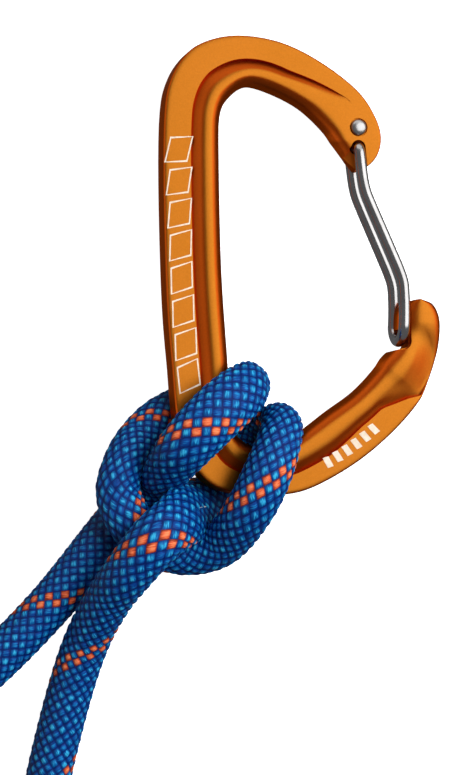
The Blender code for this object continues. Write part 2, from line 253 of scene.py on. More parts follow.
def steel(name, roughness=0.2):
    """Bright drawn stainless wire, faintly clouded."""
    n = Nodes(name)
    spot = n.add("ShaderNodeTexCoord").outputs["Object"]
    n.set(Metallic=1.0, Roughness=roughness)
    broad = n.add("ShaderNodeTexNoise", {"Vector": spot}, Scale=300.0, Detail=4.0)
    greys = [(0.3, (0.48, 0.47, 0.465)), (0.7, (0.57, 0.56, 0.555))]
    n.link(ramp(n, broad.outputs["Fac"], greys), "Base Color")
    rough = n.add("ShaderNodeMapRange", {"Value": broad.outputs["Fac"]})
    rough.inputs["To Min"].default_value = roughness - 0.03
    rough.inputs["To Max"].default_value = roughness + 0.05
    n.link(rough.outputs["Result"], "Roughness")
    return n.material


def yarn(name, gap_shade, mid, crown_highlight):
    """Filaments along each pick of the braid, with painted shade in the gaps and a painted highlight on its
    crown. U runs across the strand and V along it, and a slow wander keeps the picks from being alike."""
    n = Nodes(name)
    uv = n.add("ShaderNodeUVMap", uv_map="picks").outputs["UV"]
    wander = n.add("ShaderNodeTexNoise", {"Vector": uv}, Scale=1.7, Detail=2.0)
    offset = n.add("ShaderNodeVectorMath", {0: wander.outputs["Color"]}, operation="SUBTRACT")
    offset.inputs[1].default_value = (0.5, 0.5, 0.5)
    nudge = n.add("ShaderNodeVectorMath", {0: offset.outputs["Vector"]}, operation="SCALE")
    nudge.inputs["Scale"].default_value = 0.16
    moved = n.add("ShaderNodeVectorMath", {0: uv, 1: nudge.outputs["Vector"]}, operation="ADD")
    split = n.add("ShaderNodeSeparateXYZ", {"Vector": moved.outputs["Vector"]})

    def math_node(operation, *values):
        node = n.add("ShaderNodeMath", operation=operation)
        for k, value in enumerate(values):
            if isinstance(value, (int, float)):
                node.inputs[k].default_value = value
            else:
                n.tree.links.new(value, node.inputs[k])
        return node.outputs[0]

    def bulge(axis, power):
        turn = math_node("MULTIPLY", math_node("FRACT", split.outputs[axis]), math.pi)
        return math_node("POWER", math_node("SINE", turn), power)

    stretched = n.add("ShaderNodeCombineXYZ", {"X": math_node("MULTIPLY", split.outputs["X"], 9.0),
                                               "Y": math_node("MULTIPLY", split.outputs["Y"], 1.1)})
    fibres = n.add("ShaderNodeTexNoise", {"Vector": stretched.outputs["Vector"]}, Scale=1.0, Detail=3.0)
    pick = n.add("ShaderNodeTexNoise", {"Vector": uv}, Scale=0.8, Detail=1.0)
    height = math_node("MULTIPLY", bulge("X", 0.7), bulge("Y", 0.5))
    spread = math_node("ADD", math_node("MULTIPLY", math_node("SUBTRACT", fibres.outputs["Fac"], 0.5), 2.0),
                       math_node("MULTIPLY", math_node("SUBTRACT", pick.outputs["Fac"], 0.5), 0.9))
    tone = math_node("MULTIPLY", height, math_node("ADD", spread, 0.9))
    # The ramp paints shade into the gaps between picks and a highlight onto each pick's crown.
    n.link(ramp(n, tone, [(0.0, gap_shade), (0.2, gap_shade), (0.66, mid), (1.0, crown_highlight)]), "Base Color")
    bump = n.add("ShaderNodeBump", {"Height": fibres.outputs["Fac"]}, Strength=0.6, Distance=0.00012)
    n.link(bump.outputs["Normal"], "Normal")
    n.set(Roughness=0.5, Specular_IOR_Level=0.15)
    return n.material


def print_white():
    """Off-white laser marking, a little uneven."""
    n = Nodes("laser_marking")
    spot = n.add("ShaderNodeTexCoord").outputs["Object"]
    broad = n.add("ShaderNodeTexNoise", {"Vector": spot}, Scale=900.0, Detail=3.0)
    whites = [(0.3, (0.82, 0.66, 0.50)), (0.7, (0.95, 0.84, 0.70))]
    n.link(ramp(n, broad.outputs["Fac"], whites), "Base Color")
    n.set(Roughness=0.6)
    return n.material


def melted_plastic(name, colour):
    """Slightly lumpy plastic, for the shrunk sleeves and the fused rope ends."""
    n = Nodes(name)
    spot = n.add("ShaderNodeTexCoord").outputs["Object"]
    broad = n.add("ShaderNodeTexNoise", {"Vector": spot}, Scale=180.0, Detail=4.0)
    tones = [(0.3, tuple(0.7 * c for c in colour)), (0.7, colour)]
    n.link(ramp(n, broad.outputs["Fac"], tones), "Base Color")
    bump = n.add("ShaderNodeBump", {"Height": broad.outputs["Fac"]}, Strength=0.3, Distance=0.0002)
    n.link(bump.outputs["Normal"], "Normal")
    n.set(Roughness=0.42)
    return n.material


def core_fibre():
    """The pale twisted fibres inside the sheath."""
    n = Nodes("core_fibre")
    spot = n.add("ShaderNodeTexCoord").outputs["Object"]
    fine = n.add("ShaderNodeTexNoise", {"Vector": spot}, Scale=1500.0, Detail=2.0)
    tones = [(0.3, (0.6, 0.59, 0.55)), (0.7, (0.9, 0.89, 0.85))]
    n.link(ramp(n, fine.outputs["Fac"], tones), "Base Color")
    n.set(Roughness=0.8, Sheen_Weight=0.3)
    return n.material


# ---------------------------------------------------------------- camera, floor and light

# The camera looks at the drawing's origin from 15 degrees left of the carabiner's face and 4 below.
CAMERA_SIDE, CAMERA_UNDER = math.radians(15), math.radians(4)
CAMERA_DISTANCE, CAMERA_LENS = 488.2, 105.0

# The lights stand this far from a point beside the middle of the spine. The floor reaches this far each way and
# lies this far down.
LIGHT_DISTANCE = 900
LIT_POINT = np.array([0, 20, 0])
FLOOR_HALF, FLOOR_DROP = 3000.0, 0.05


def toward(side, up):
    """A unit direction from the carabiner's face, turned sideways and upward, in the drawing."""
    return np.array([math.sin(side) * math.cos(up), math.sin(up), math.cos(side) * math.cos(up)])


def aim(obj, position, target, up):
    """Puts obj at a position in millimetres, looking at the target."""
    back = (position - target) / np.linalg.norm(position - target)
    right = np.cross(up, back)
    right /= np.linalg.norm(right)
    turn = Matrix([[*r] for r in np.c_[right, np.cross(back, right), back]]).to_4x4()
    obj.matrix_world = Matrix.Translation(Vector(position * MM)) @ turn


def camera():
    """The photograph's view."""
    target = place([0, 0, 0])[0]
    position = place(CAMERA_DISTANCE * toward(-CAMERA_SIDE, -CAMERA_UNDER))[0]
    up = place([0, 1, 0])[0] - target
    lens = bpy.data.cameras.new("camera")
    lens.lens, lens.sensor_width, lens.clip_start = CAMERA_LENS, 36.0, 0.01
    obj = bpy.data.objects.new("camera", lens)
    bpy.context.scene.collection.objects.link(obj)
    aim(obj, position, target, up)
    bpy.context.scene.camera = obj


def panel(name, side, up, width, height, radiance, mirrored=True, lighting=True):
    """A rectangular light, at angles in degrees from the carabiner's face. One that isn't mirrored doesn't show
    in the metal, and one that isn't lighting shows only there."""
    light = bpy.data.lights.new(name, "AREA")
    light.shape, light.size, light.size_y = "RECTANGLE", width * MM, height * MM
    light.energy = radiance * math.pi * light.size * light.size_y
    obj = bpy.data.objects.new(name, light)
    bpy.context.scene.collection.objects.link(obj)
    position = place(LIGHT_DISTANCE * toward(math.radians(side), math.radians(up)) + LIT_POINT)[0]
    aim(obj, position, place(LIT_POINT)[0], np.array([0, 1, 0.1]))
    obj.visible_glossy, obj.visible_diffuse = mirrored, lighting
    return obj


def keep_off(light, pieces):
    """The light doesn't reach these pieces, by light linking."""
    group = bpy.data.collections.new(light.name + "_kept_off")
    for piece in pieces:
        group.objects.link(piece)
    for item in group.collection_objects:
        item.light_linking.link_state = "EXCLUDE"
    light.light_linking.receiver_collection = group


def floor_and_lights():
    """A white floor, bright enough to stay white, that the metal doesn't mirror, and the lights. Returns the card
    on the left, whose reflection suits the anodising and not the steel."""
    n = Nodes("floor")
    n.set(Base_Color=(0.9, 0.9, 0.9, 1), Roughness=0.9, Emission_Color=(1, 1, 1, 1), Emission_Strength=1.0)
    corners = [(x * FLOOR_HALF, y * FLOOR_HALF, -FLOOR_DROP) for x, y in ((-1, -1), (1, -1), (1, 1), (-1, 1))]
    floor = mesh_piece("floor", corners, [(0, 1, 2, 3)], n.material)
    floor.visible_glossy = False
    floor.visible_diffuse = False
    world = bpy.data.worlds.new("studio")
    bpy.context.scene.world = world
    world.use_nodes = True
    world.node_tree.nodes["Background"].inputs["Color"].default_value = (0.14, 0.14, 0.145, 1)
    panel("right_panel", 36, 11, 1200, 800, 1.75)
    left = panel("left_card", -86, 4, 2300, 1700, 0.75, lighting=False)
    panel("upper_card", -10, 64, 1500, 900, 0.8, lighting=False)
    panel("front_fill", 14, 14, 500, 500, 7.0, mirrored=False)
    view = bpy.context.scene.view_settings
    view.view_transform, view.look = "Standard", "None"
    return left


# ---------------------------------------------------------------- rope

# The rope's centreline, the same list as in the CAD: x, y, z and how far it is squeezed. Scratch scripts moved
# points read off the photo clear of each other. Of the 40 points, 21 are the last script's output as it was and
# four differ from it slightly. The other 15 were set again one by one. It isn't a list chosen by hand
# throughout.
ROUTE = [
    (-131, -134, 6.5, 1), (-110, -123, 6.25, 1), (-69.5, -92, 5.25, 1),
    (-53.5, -76, 5.25, 1), (-34.75, -52.5, 6.5, 1), (-30.8, -48.2, 11, 0.86),
    (-30.3, -44, 18, 0.87), (-28.6, -38.9, 24, 0.93), (-25, -34.3, 25.2, 0.97),
    (-19.1, -29, 23.6, 0.98), (-14.1, -25.9, 19.8, 0.92), (-11.8, -25.7, 15.25, 0.88),
    (-11.8, -27.4, 9.5, 0.88), (-15.75, -29, 5.5, 0.95), (-23, -31.1, 5.25, 1),
    (-29.5, -34.1, 5.75, 0.98), (-34.7, -38.4, 8, 0.93), (-38.6, -43.3, 11.9, 0.88),
    (-40.1, -49.3, 14.3, 0.9), (-37.5, -55.4, 15.9, 0.92), (-32, -60, 14, 0.94),
    (-24.75, -62.25, 14, 0.91), (-18.25, -60, 17.25, 0.95), (-13.75, -51.25, 24.75, 1),
    (-10.5, -43.75, 25.75, 1), (-7.75, -37.75, 23.5, 0.95), (-5.75, -34.25, 19.5, 0.89),
    (-5.5, -33.5, 14.75, 0.86), (-7, -36.75, 9.25, 0.92), (-11.75, -43, 6.75, 0.98),
    (-17, -49.5, 7.25, 0.94), (-22.25, -52.25, 12.5, 0.88), (-28, -53.9, 21.25, 0.92),
    (-34, -57.75, 25.25, 1), (-39, -65, 22.5, 1), (-42, -72, 16.5, 1),
    (-45.5, -83.75, 9.25, 1), (-50.5, -106.5, 5.75, 1), (-57.75, -148, 5.75, 1),
    (-67.5, -190, 6.5, 1),
]

# The braid: strands each way, the length of a strand's turn round the rope, and the steps along each pick.
STRANDS = 13
LAY = 33.0
STEPS = 5

# Radius between the picks, and how far a pick stands over it. Two strands of one hand are the tracer's.
BASE_R, CROWN = 4.72, 0.36
TRACERS = (0, 1)

# Where the second hand's texture coordinates start, so that the two hands' noise differs, and how far a strand's
# texture is from its neighbour's.
OTHER_HAND, NEXT_STRAND = 50, 3.0

# Distance along the rope in millimetres with the braid's turn there in degrees, set so that the tracer shows
# where the photo has it, and with how much wider than round the rope is pressed in the plane of the hitch.
TURNS = [(0, -156), (60, -156), (100, -150), (157, -40), (181, -36), (206, 8), (232, 60), (273, 10),
         (346, 156), (378, 156), (495, 156)]
PRESSED = [(0, 1), (110, 1), (133, 1.06), (146, 1.2), (163, 1.24), (177, 1.2), (190, 1.06), (200, 1.0),
           (218, 1.04), (230, 1.1), (243, 1.06), (275, 1.06), (292, 1.02), (316, 1.06), (324, 1.3),
           (332, 1.45), (342, 1.2), (362, 1.02), (380, 1), (495, 1)]


def rope_line(count):
    """Centreline points and squeeze at even steps along the rope."""
    fine = spline(ROUTE, 30)
    s = along(fine[:, :3])
    t = np.linspace(0, s[-1], count)
    return np.array([np.interp(t, s, fine[:, k]) for k in range(3)]).T, np.interp(t, s, fine[:, 3]), t


def listed(pairs, s):
    """Values between the listed ones, smoothly."""
    fine = spline(pairs, 20)
    return np.interp(s, fine[:, 0], fine[:, 1])


def rope_section(line, s, angle, radius):
    """Points round the rope: pressed a little wider across the hitch's plane and thinner through it."""
    u, v = frames(line)
    tangent = np.cross(u, v)
    wide = np.cross(tangent, face_normal())
    wide /= np.maximum(np.linalg.norm(wide, axis=1), 0.3)[:, None]
    more = listed(PRESSED, s)
    across = ((radius * np.cos(angle))[..., None] * u[:, None, :]
              + (radius * np.sin(angle))[..., None] * v[:, None, :])
    through = np.cross(tangent, wide)
    part = (across * wide[:, None, :]).sum(axis=2)
    depth = (across * through[:, None, :]).sum(axis=2)
    across += ((more - 1)[:, None] * part)[..., None] * wide[:, None, :]
    across += ((1 / more - 1)[:, None] * depth)[..., None] * through[:, None, :]
    return line[:, None, :] + across


def rope_sheath():
    """Picks of a plain braid as pillows on a lattice that runs along the strands."""
    length = along(spline(ROUTE, 30)[:, :3])[-1]
    around = STRANDS * STEPS
    rows = int(round(length / (LAY / (2 * around))))
    line, squeeze, s = rope_line(rows + 1)
    row = np.arange(rows + 1)[:, None]
    turn = 2 * np.arange(around)[None, :] + row % 2
    p, q = (turn + row) / 2, (turn - row) / 2
    fa, fb = (p % STEPS) / STEPS, (q % STEPS) / STEPS
    height = (np.sin(math.pi * fa) * np.sin(math.pi * fb)) ** 0.6
    radius = (BASE_R + CROWN * height) * squeeze[:, None]
    angle = math.pi * turn / around + np.radians(listed(TURNS, s))[:, None]
    points = rope_section(line, s, angle, radius).reshape(-1, 3)
    faces, slots, uvs = [], [], []
    for r in range(rows - 1):
        odd = r % 2
        for k in range(around):
            left = (r + 1) * around + (k - 1 + odd) % around
            right = (r + 1) * around + (k + odd) % around
            faces.append((r * around + k, right, (r + 2) * around + k, left))
            # The face's own place on the lattice says which strand is on top.
            a0, b0 = (2 * k + odd + r) // 2, (2 * k + odd - r) // 2 - 1
            i, j = a0 // STEPS, b0 // STEPS
            over = (i + j) % 2 == 0
            xa, xb = (a0 % STEPS) / STEPS, (b0 % STEPS) / STEPS
            step = 1 / STEPS
            corners = ((xa, xb + step), (xa + step, xb + step), (xa + step, xb), (xa, xb))
            if over:
                slots.append(0)
                uvs += [(i + c[0], NEXT_STRAND * i + j + c[1]) for c in corners]
            else:
                slots.append(2 if j % STRANDS in TRACERS else 1)
                uvs += [(OTHER_HAND + j + c[1], NEXT_STRAND * j + i + c[0]) for c in corners]
    for r, inward in ((0, 1), (rows, -1)):
        hub = len(points)
        points = np.vstack([points, line[r]])
        for k in range(around):
            a, b = r * around + k, r * around + (k + 1) % around
            mid = (r + inward) * around + (k + r % 2) % around
            faces += [(a, mid, b), (a, b, hub)]
            slots += [0, 0]
            uvs += [(0, 0)] * 6
    # The two hands are lit and shaded copies of one blue yarn: the first hand's picks carry a painted sheen and
    # the second hand's painted shade. In all three yarns the gaps carry painted shade and the crowns a painted
    # highlight.
    blue = yarn("sheath_blue_painted_sheen", (0.0, 0.018, 0.14), (0.0, 0.12, 0.41), (0.04, 0.5, 0.84))
    painted_shade = yarn("sheath_blue_painted_shade", (0.0, 0.012, 0.12), (0.001, 0.065, 0.33), (0.01, 0.24, 0.6))
    tracer = yarn("sheath_tracer", (0.16, 0.016, 0.012), (0.88, 0.14, 0.05), (1.0, 0.3, 0.12))
    obj = mesh_piece("rope_sheath_braid", points, faces, None)
    mesh = obj.data
    for m in (blue, painted_shade, tracer):
        mesh.materials.append(m)
    mesh.polygons.foreach_set("material_index", slots)
    layer = mesh.uv_layers.new(name="picks")
    layer.data.foreach_set("uv", np.array(uvs, np.float32).ravel())
    outward(obj)
    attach(obj, "carabiner")
    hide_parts("rope_sheath")
    return obj, length


def rope():
    """The sheath with its two ends."""
    sheath, length = rope_sheath()
    ends = rope_ends()


# ---------------------------------------------------------------- carabiner body

# Pairs of outline points along the bar, from the hinge lug round to the nose: outer x, outer y, inner x,
# inner y. They were measured off the photo with scratch scripts, which also thinned them.
STATIONS = [
    (28.6, 48.3, 27.6, 48.5), (30.6, 49.4, 25.6, 50.2), (32.4, 51.6, 24.1, 52.0),
    (33.3, 55.0, 22.3, 54.4), (32.6, 58.8, 20.4, 56.8), (27.6, 66.1, 14.7, 61.6),
    (12.0, 75.1, 5.0, 65.5), (0.0, 76.5, 1.4, 65.1), (-8.4, 73.9, -1.6, 62.2),
    (-12.2, 70.2, -2.5, 60.3), (-14.6, 65.3, -2.9, 58.0), (-15.6, 59.8, -3.0, 55.0),
    (-15.4, 25.8, -2.4, 25.9), (-14.1, 6.3, -1.1, 7.0), (-11.2, -13.3, 0.1, -7.7),
    (-5.4, -20.9, 2.1, -11.3), (5.0, -23.4, 7.7, -13.4), (11.0, -23.1, 11.0, -12.5),
    (16.4, -21.9, 14.4, -9.9), (26.2, -16.8, 20.8, -5.0), (34.5, -10.4, 27.2, -0.4),
    (41.0, -3.6, 32.1, 4.7), (43.5, 0.3, 33.7, 7.0), (46.5, 8.8, 37.0, 10.7),
    (47.1, 14.5, 37.2, 14.5), (46.6, 17.2, 37.5, 17.4), (45.3, 19.2, 38.9, 19.3),
    (42.6, 20.1, 41.0, 20.0),
]

# Half sections of the bar: distance across it (0 outer edge, 1 inner edge) and height.
CORNER = [(0, 0), (0, 1.4), (0, 2.55), (0.012, 2.88), (0.05, 3.0), (0.12, 3.0), (0.2, 3.0),
          (0.21, 2.99), (0.3, 2.97), (0.4, 2.9), (0.55, 2.65), (0.72, 2.2), (0.88, 1.5), (1, 0)]
LUG = [(0, 0), (0, 1.4), (0, 2.55), (0.012, 2.88), (0.05, 3.0), (0.15, 3.0), (0.25, 3.0),
       (0.258, 3.0), (0.34, 3.0), (0.45, 3.0), (0.62, 3.0), (0.8, 2.85), (0.93, 1.9), (1, 0)]
TAPER = [(0, 0), (0, 1.4), (0, 2.55), (0.012, 2.88), (0.05, 3.0), (0.18, 3.0), (0.33, 3.0),
         (0.337, 2.5), (0.43, 2.85), (0.52, 3.04), (0.68, 3.06), (0.82, 2.88), (0.93, 1.95), (1, 0)]
ARM = [(0, 0), (0, 1.4), (0, 2.55), (0.012, 2.88), (0.05, 3.0), (0.25, 3.0), (0.46, 3.0),
       (0.467, 2.2), (0.56, 2.7), (0.63, 3.04), (0.72, 3.12), (0.82, 2.95), (0.93, 2.0), (1, 0)]
SPINE = [(0, 0), (0, 1.4), (0, 2.55), (0.012, 2.88), (0.05, 3.0), (0.25, 3.0), (0.46, 3.0),
         (0.467, 1.9), (0.57, 2.5), (0.655, 3.02), (0.72, 3.2), (0.83, 3.1), (0.93, 2.2), (1, 0)]
BASKET = [(0, 0), (0, 1.4), (0, 2.55), (0.015, 2.88), (0.06, 3.0), (0.2, 3.0), (0.35, 3.0),
          (0.358, 2.1), (0.46, 2.6), (0.54, 3.0), (0.64, 3.2), (0.8, 3.15), (0.91, 2.4), (1, 0)]
HEEL = [(0, 0), (0, 1.4), (0, 2.55), (0.015, 2.88), (0.06, 3.0), (0.25, 3.0), (0.44, 3.0),
        (0.448, 2.3), (0.53, 2.65), (0.59, 2.97), (0.67, 3.17), (0.8, 3.15), (0.91, 2.4), (1, 0)]
RUNOUT = [(0, 0), (0, 1.4), (0, 2.5), (0.015, 2.85), (0.05, 3.0), (0.12, 3.0), (0.2, 3.0),
          (0.21, 2.0), (0.34, 2.5), (0.5, 3.0), (0.62, 3.3), (0.79, 3.3), (0.91, 2.5), (1, 0)]
WAIST = [(0, 0), (0, 1.4), (0, 2.4), (0.01, 2.6), (0.018, 2.68), (0.024, 2.7), (0.03, 2.7),
         (0.036, 1.85), (0.2, 2.3), (0.4, 2.95), (0.56, 3.45), (0.76, 3.5), (0.91, 2.6), (1, 0)]
SHOULDER = [(0, 0), (0, 1.1), (0, 1.6), (0.008, 1.72), (0.016, 1.8), (0.024, 1.84), (0.032, 1.87),
            (0.04, 1.9), (0.2, 2.4), (0.38, 3.05), (0.56, 3.6), (0.75, 3.5), (0.91, 2.5), (1, 0)]
NOSE = [(0, 0), (0, 1.3), (0.02, 2.3), (0.06, 2.9), (0.14, 3.35), (0.25, 3.62), (0.36, 3.74),
        (0.46, 3.76), (0.56, 3.66), (0.66, 3.4), (0.77, 2.95), (0.88, 2.4), (0.97, 1.8), (1, 0)]
TIP = [(0, 0), (0, 1.1), (0.03, 2.1), (0.09, 2.75), (0.18, 3.2), (0.28, 3.45), (0.38, 3.55),
       (0.47, 3.55), (0.56, 3.48), (0.66, 3.33), (0.77, 3.05), (0.88, 2.55), (0.96, 1.7), (1, 0)]

# Which half section the bar has at each place along the stations.
SECTIONS = [(0, CORNER), (1.5, CORNER), (3, LUG), (4.8, LUG), (5.15, TAPER), (5.7, ARM), (7, SPINE),
            (14, SPINE), (17, BASKET), (18.7, BASKET), (19.6, HEEL), (20.3, HEEL), (21, RUNOUT),
            (21.6, WAIST), (22.3, SHOULDER), (24.2, NOSE), (25, NOSE), (27, TIP)]

# The points of a half section where its flat starts and where the crease beside the flat has its foot, the
# stretch of stations over which the edges between them fade out, and the rings from one station to the next.
FLAT = (4, 7)
CREASED = (21.6, 22.3)
BODY_SPANS = 8

WIRE_R = 1.25
HINGE = np.array([28.0, 53.2])
UPPER_HOLE = np.array([28.0, 57.6])
HOLE_R = 1.5
COUNTERBORE_R, COUNTERBORE_DEPTH = 2.05, 0.5

# Height of the flat faces, and a height past everything for cutters.
FACE, PAST = 3.0, 7.0

# The near leg's direction from the hinge with the gate shut and open, and the two pockets it turns in: half the
# width and the reach, the front floor's height at POCKET_FROM and its fall per millimetre toward the window, and
# the back floor's height.
REST, OPEN = math.radians(-84.3), math.radians(-118.3)
POCKET_HALF, POCKET_REACH = 1.6, 9.0
POCKET_FLOOR, POCKET_FALL, POCKET_FROM = 1.7, 0.3, 28.5
POCKET_LOW = 1.8

# The pocket behind the lug for the far leg's tail.
TAIL_HALF, TAIL_REACH, TAIL_LOW = 1.62, 6.0, 1.81
TAIL_TURN = (math.radians(90), math.radians(56))

# The nose: half the thickness of its tongue, the outline cleared on both sides of the tongue, and the slot that
# the gate's round end sits in.
TONGUE_HALF = 1.9
TONGUE_LEFT, TONGUE_RIGHT, TONGUE_LOW, TONGUE_HIGH, TONGUE_CORNER = 32.5, 39.95, 8.8, 22, 2
SLOT = [(33, 7.5), (35, 8.35), (38.2, 9.15), (39.4, 9.45), (39.75, 10.2), (39.75, 12.3),
        (39.3, 12.9), (38.5, 13.3), (36, 13.4), (33, 13.4)]


def section_at(position):
    """The half section at a place along the stations, blended evenly, or smoothly past the shoulder."""
    for (a, first), (b, second) in zip(SECTIONS, SECTIONS[1:]):
        if position <= b:
            f = (position - a) / (b - a)
            if a >= CREASED[1]:
                f = f * f * (3 - 2 * f)
            return (1 - f) * np.array(first, float) + f * np.array(second, float)
    return np.array(SECTIONS[-1][1], float)


def refined(half, width, position):
    """A half section with more points: its flat keeps sharp edges until they fade out near the nose."""
    steps = 4
    points = half * (width, 1)
    smooth = spline(points, steps)
    low, foot = FLAT
    level = [(1 - f) * points[k] + f * points[k + 1]
             for k in range(low, foot) for f in np.arange(steps) / steps]
    broken = np.vstack([spline(points[:low + 1], steps)[:-1], level, spline(points[foot:], steps)])
    fade = np.clip((position - CREASED[0]) / (CREASED[1] - CREASED[0]), 0, 1)
    return ((1 - fade) * broken + fade * smooth) / (width, 1)


def body_loft():
    """Rings of points round the bar, in the drawing."""
    rings = []
    for k, (ox, oy, ix, iy) in enumerate(spline(STATIONS, BODY_SPANS)):
        position = k / BODY_SPANS
        half = refined(section_at(position), math.hypot(ix - ox, iy - oy), position)
        x, y = ox + (ix - ox) * half[:, 0], oy + (iy - oy) * half[:, 0]
        top = np.c_[x, y, half[:, 1]]
        bottom = np.c_[x, y, -half[:, 1]][1:-1][::-1]
        rings.append(np.vstack([top, bottom]))
    return rings


def hull(points):
    """The convex outline round some flat points, anticlockwise."""
    points = sorted({(round(x, 4), round(y, 4)) for x, y in points})

    def chain(run):
        kept = []
        for p in run:
            while len(kept) > 1:
                (ax, ay), (bx, by) = kept[-2:]
                if (bx - ax) * (p[1] - ay) - (by - ay) * (p[0] - ax) > 1e-6:
                    break
                kept.pop()
            kept.append(p)
        return kept[:-1]

    return chain(points) + chain(points[::-1])


def swept(pivot, half_width, start, end, reach):
    """The outline of a round-ended arm of this reach, turned about the pivot from start to end."""
    points = circle(pivot, half_width, 48)
    for a in np.linspace(start, end, 24):
        points += circle(pivot + reach * np.array([math.cos(a), math.sin(a)]), half_width, 48)
    return hull(points)


def rounded(outline, radius, steps=5):
    """The outline with its corners rounded off."""
    out = []
    n = len(outline)
    for i, p in enumerate(map(np.array, outline)):
        before, after = np.array(outline[i - 1]) - p, np.array(outline[(i + 1) % n]) - p
        reach = min(radius, 0.45 * np.linalg.norm(before), 0.45 * np.linalg.norm(after))
        a, b = before / np.linalg.norm(before) * reach, after / np.linalg.norm(after) * reach
        for t in np.linspace(0, 1, steps):
            out.append(tuple(p + (1 - t) ** 2 * a + t ** 2 * b))
    return out


def prism(name, outline, low, high, material=None, floor=None):
    """A closed mesh of this flat outline between two heights in the drawing. A floor, one point for each of the
    outline's, takes the place of the low side."""
    n = len(outline)
    points = [(x, y, z) for z in (low, high) for x, y in outline]
    points = place((floor or points[:n]) + points[n:])
    faces = [tuple(range(n))[::-1], tuple(range(n, 2 * n))]
    faces += [(i, (i + 1) % n, n + (i + 1) % n, n + i) for i in range(n)]
    return outward(mesh_piece(name, points, faces, material, 30))


def cut_out(target, cutters):
    """Takes the cutters out of the target and removes them."""
    for cutter in cutters:
        step = target.modifiers.new(cutter.name, "BOOLEAN")
        step.operation, step.solver, step.object = "DIFFERENCE", "EXACT", cutter
    bpy.context.view_layer.update()
    done = bpy.data.meshes.new_from_object(target.evaluated_get(bpy.context.evaluated_depsgraph_get()))
    target.modifiers.clear()
    target.data = done
    for cutter in cutters:
        bpy.data.objects.remove(cutter)
    done.shade_smooth()
    done.set_sharp_from_angle(angle=math.radians(30))


def tongue_clearance():
    """The outline cut away on both sides of the nose's tongue, with one round corner."""
    r = TONGUE_CORNER
    corner = [(TONGUE_RIGHT - r + r * math.sin(a), TONGUE_LOW + r - r * math.cos(a))
              for a in np.linspace(0, math.pi / 2, 12)]
    return [(TONGUE_LEFT, TONGUE_LOW), *corner, (TONGUE_RIGHT, TONGUE_HIGH), (TONGUE_LEFT, TONGUE_HIGH)]


def body():
    """The forging, with its slot, pockets and holes cut out."""
    rings = [place(r) for r in body_loft()]
    obj = outward(mesh_piece("carabiner_forging", *skin(rings), anodised(), 30))
    pocket = swept(HINGE, POCKET_HALF, REST, OPEN, POCKET_REACH)
    sloped = [(x, y, POCKET_FLOOR - POCKET_FALL * (POCKET_FROM - x)) for x, y in pocket]
    tail = swept(HINGE, TAIL_HALF, *TAIL_TURN, TAIL_REACH)
    clearance = tongue_clearance()
    cut_out(obj, [
        prism("nose_slot", rounded(SLOT, 0.5), -PAST, PAST),
        prism("nose_front", clearance, TONGUE_HALF, PAST),
        prism("nose_back", clearance, -PAST, -TONGUE_HALF),
        prism("pocket_front", pocket, POCKET_LOW, PAST, floor=sloped),
        prism("pocket_back", pocket, -PAST, -POCKET_LOW),
        prism("tail_pocket", tail, -PAST, -TAIL_LOW),
        prism("lower_hole", circle(HINGE, HOLE_R, 64), -PAST, PAST),
        prism("upper_hole", circle(UPPER_HOLE, HOLE_R, 64), -PAST, PAST),
        prism("counterbore", circle(UPPER_HOLE, COUNTERBORE_R, 64), FACE - COUNTERBORE_DEPTH, PAST),
    ])
    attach(obj, "carabiner")
    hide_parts("carabiner_body")


# ---------------------------------------------------------------- markings


# Marks along the bar: the first one's station, their spacing, how many, and how far in from the outer edge.
SPINE_ROW = (11.29, 7.15, 8, 3.35)
BASKET_ROW = (18.56, 2.75, 6, 3.5)

# Half the height and width of each, how far it slants to either side, the outline's line width, and the two
# heights of every mark.
SPINE_MARK, SPINE_LEAN, OUTLINE = (2.45, 2.9), 0.75, 0.3
BASKET_MARK, BASKET_LEAN = (1.2, 0.7), 0.25
MARK_LOW, MARK_HIGH = FACE - 0.05, FACE + 0.02


def along_bar(first, spacing, count, inward):
    """Places along the bar at equal spacings, a set distance in from the outer edge, with their directions."""
    fine = spline(STATIONS, BODY_SPANS)
    s = along(fine[:, :2])
    start = np.interp(first * BODY_SPANS, np.arange(len(fine)), s)
    for k in range(count):
        ox, oy, ix, iy = (np.interp(start + k * spacing, s, fine[:, c]) for c in range(4))
        across = np.array([ix - ox, iy - oy]) / math.hypot(ix - ox, iy - oy)
        yield np.array([ox, oy]) + inward * across, np.array([across[1], -across[0]]), across


def marks():
    """Plain slanted shapes along the spine and the basket, where such a body carries its printing."""
    material = print_white()
    half, reach = SPINE_MARK
    lean = SPINE_LEAN
    for k, (middle, forward, across) in enumerate(along_bar(*SPINE_ROW)):
        # The outer shape and the one inside its line, whose sides are moved in a little unevenly as they slant.
        shapes = [[middle + a * forward + b * across
                   for a, b in ((-reach + lean + o * 1.1, -half + o), (reach + lean - o * 0.9, -half + o),
                                (reach - lean - o * 1.1, half - o), (-reach - lean + o * 0.9, half - o))]
                  for o in (0, OUTLINE)]
        points = place([(*p, z) for z in (MARK_LOW, MARK_HIGH) for shape in shapes for p in shape])
        faces = []
        for i in range(4):
            j = (i + 1) % 4
            faces += [(8 + i, 8 + j, 12 + j, 12 + i), (j, i, 4 + i, 4 + j),
                      (i, j, 8 + j, 8 + i), (4 + j, 4 + i, 12 + i, 12 + j)]
        mark = outward(mesh_piece(f"spine_mark_{k + 1}", points, faces, material, 30))
        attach(mark, "carabiner")
    half, reach = BASKET_MARK
    lean = BASKET_LEAN
    for k, (middle, forward, across) in enumerate(along_bar(*BASKET_ROW)):
        corners = ((lean - reach, -half), (lean + reach, -half), (reach - lean, half), (-lean - reach, half))
        shape = [middle + a * forward + b * across for a, b in corners]
        mark = prism(f"basket_mark_{k + 1}", shape, MARK_LOW, MARK_HIGH, material)
        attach(mark, "carabiner")


# ---------------------------------------------------------------- gate

